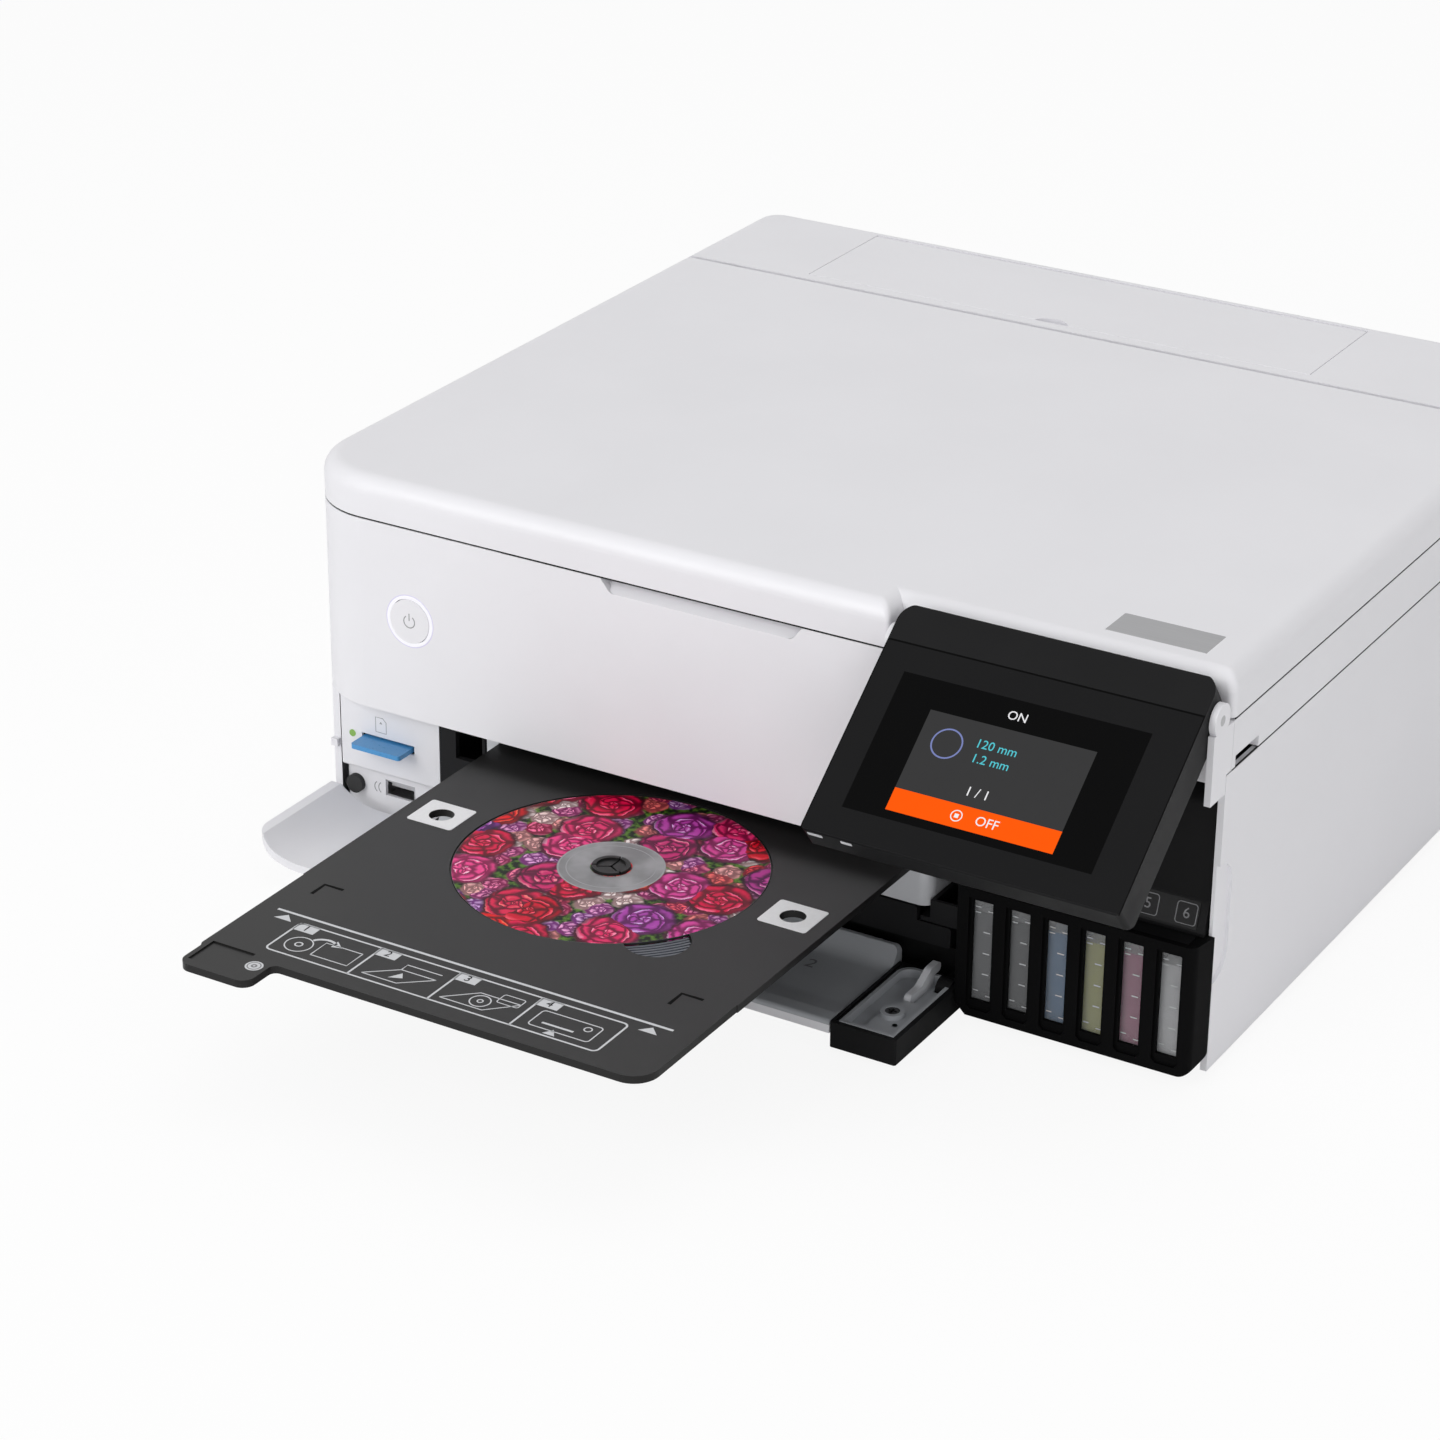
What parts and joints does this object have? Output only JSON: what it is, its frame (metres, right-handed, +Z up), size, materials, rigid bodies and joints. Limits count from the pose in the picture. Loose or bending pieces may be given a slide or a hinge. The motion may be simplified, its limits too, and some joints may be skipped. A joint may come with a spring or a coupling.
{
  "type": "disc label printer",
  "caption": "Flat desktop ink tank printer with scanner lid, tilting touch panel, open front cover, and a slide-in tray that carries a disc to be labelled.",
  "frame": {"origin": "middle of the outline, with the disc tray out and the front cover down, on the surface that the feet stand on", "axes": "+X to the right as one faces the printer, +Y towards its back, +Z up"},
  "size_m": [0.403, 0.572, 0.1626],
  "materials": {
    "white_cover": "fine textured satin",
    "black_plastic": "satin",
    "dark_plastic": "satin",
    "tray_black": "satin",
    "gloss_black": "gloss",
    "mid_grey": "satin",
    "light_grey": "satin",
    "clear_plastic": "clear",
    "ink": "wet, six colours",
    "cover_glass": "polished",
    "bed_glass": "polished",
    "steel": "ground",
    "rubber": "matt",
    "disc_print": "printed",
    "label_white": "printed",
    "card_blue": "gloss",
    "lamp_green": "lit",
    "pad_white": "satin",
    "badge_grey": "satin"
  },
  "bodies": {
    "body": {"base_frame": "black_plastic", "feet": "rubber", "left_cover": "white_cover", "right_cover": "white_cover", "rear_cover": "dark_plastic", "mains_inlet": "black_plastic", "network_socket": "black_plastic", "computer_socket": "mid_grey", "rear_tower": "white_cover", "paper_chute": "dark_plastic", "connector_panel": "white_cover", "card_reader": "black_plastic", "stick_port": "steel", "status_lamp": "lamp_green", "rubber_buffer": "rubber", "bay_wall_left": "dark_plastic", "bay_wall_right": "dark_plastic", "disc_guide": "light_grey", "inner_deck": "dark_plastic", "platen": "dark_plastic", "carriage_rail": "steel", "tank_housing": "black_plastic", "ink_tanks": "clear_plastic", "inks": "ink", "tank_caps": "dark_plastic", "tank_cover": "black_plastic", "tank_strip": "gloss_black", "cover_knuckles": "black_plastic", "cover_pins": "steel"},
    "scanner_unit": {"front_panel": "white_cover", "power_ring": "light_grey", "scanner_frame": "white_cover", "scan_bezel": "light_grey", "scan_glass": "bed_glass", "scan_rod": "steel", "hinge_brackets": "dark_plastic", "panel_pins": "steel"},
    "lid": {"lid_shell": "white_cover", "lid_pad": "pad_white", "badge_plate": "badge_grey"},
    "control_panel": {"panel_housing": "black_plastic", "panel_glass": "cover_glass"},
    "power_button": {"power_button": "white_cover"},
    "scan_bar": {"scan_bar": "black_plastic"},
    "front_cover": {"cover_skin": "white_cover", "cover_lining": "mid_grey", "cover_end": "black_plastic", "cover_plate": "mid_grey", "cover_screw": "steel", "cover_arm": "light_grey"},
    "disc_tray": {"disc_tray": "tray_black", "tray_labels": "label_white", "disc_hub": "tray_black", "printed_disc": "disc_print"},
    "paper_cassette": {"paper_cassette": "dark_plastic"},
    "memory_card": {"memory_card": "card_blue"},
    "carriage": {"carriage": "dark_plastic", "print_head": "steel"},
    "feed_roller": {"feed_roller": "rubber"},
    "rear_feed_cover": {"rear_feed_cover": "white_cover"}
  },
  "joints": [
    {"name": "scanner_unit_hinge", "type": "hinge", "parent": "body", "child": "scanner_unit", "pos_m": [0, 0.2025, 0.158], "axis": [-1, 0, 0], "range_deg": [0, 28]},
    {"name": "lid_hinge", "type": "hinge", "parent": "scanner_unit", "child": "lid", "pos_m": [0, 0.2025, 0.158], "axis": [-1, 0, 0], "range_deg": [0, 75]},
    {"name": "control_panel_tilt", "type": "hinge", "parent": "scanner_unit", "child": "control_panel", "pos_m": [0.136, -0.08757, 0.14855], "axis": [-1, 0, 0], "range_deg": [-51.5, 15]},
    {"name": "power_button_press", "type": "slide", "parent": "scanner_unit", "child": "power_button", "axis": [0, 1, 0], "range_m": [0, 0.001], "stiffness_N_per_m": 500, "springref_m": -0.0005},
    {"name": "scan_bar_slide", "type": "slide", "parent": "scanner_unit", "child": "scan_bar", "axis": [1, 0, 0], "range_m": [0, 0.27]},
    {"name": "front_cover_hinge", "type": "hinge", "parent": "body", "child": "front_cover", "pos_m": [-0.05, -0.0874, 0.0101], "axis": [1, 0, 0], "range_deg": [-45, 0]},
    {"name": "disc_tray_slide", "type": "slide", "parent": "body", "child": "disc_tray", "axis": [0, 1, 0], "range_m": [-0.08, 0.19]},
    {"name": "cassette_slide", "type": "slide", "parent": "body", "child": "paper_cassette", "axis": [0, -1, 0], "range_m": [0, 0.28]},
    {"name": "memory_card_slide", "type": "slide", "parent": "body", "child": "memory_card", "axis": [0, -1, 0], "range_m": [0, 0.02]},
    {"name": "carriage_slide", "type": "slide", "parent": "body", "child": "carriage", "axis": [1, 0, 0], "range_m": [-0.11, 0.15]},
    {"name": "feed_roller_turn", "type": "hinge", "parent": "body", "child": "feed_roller", "pos_m": [-0.018, 0.091, 0.045], "axis": [1, 0, 0], "continuous": true},
    {"name": "rear_feed_cover_hinge", "type": "hinge", "parent": "body", "child": "rear_feed_cover", "pos_m": [-0.018, 0.276, 0.1603], "axis": [-1, 0, 0], "range_deg": [0, 85]}
  ]
}
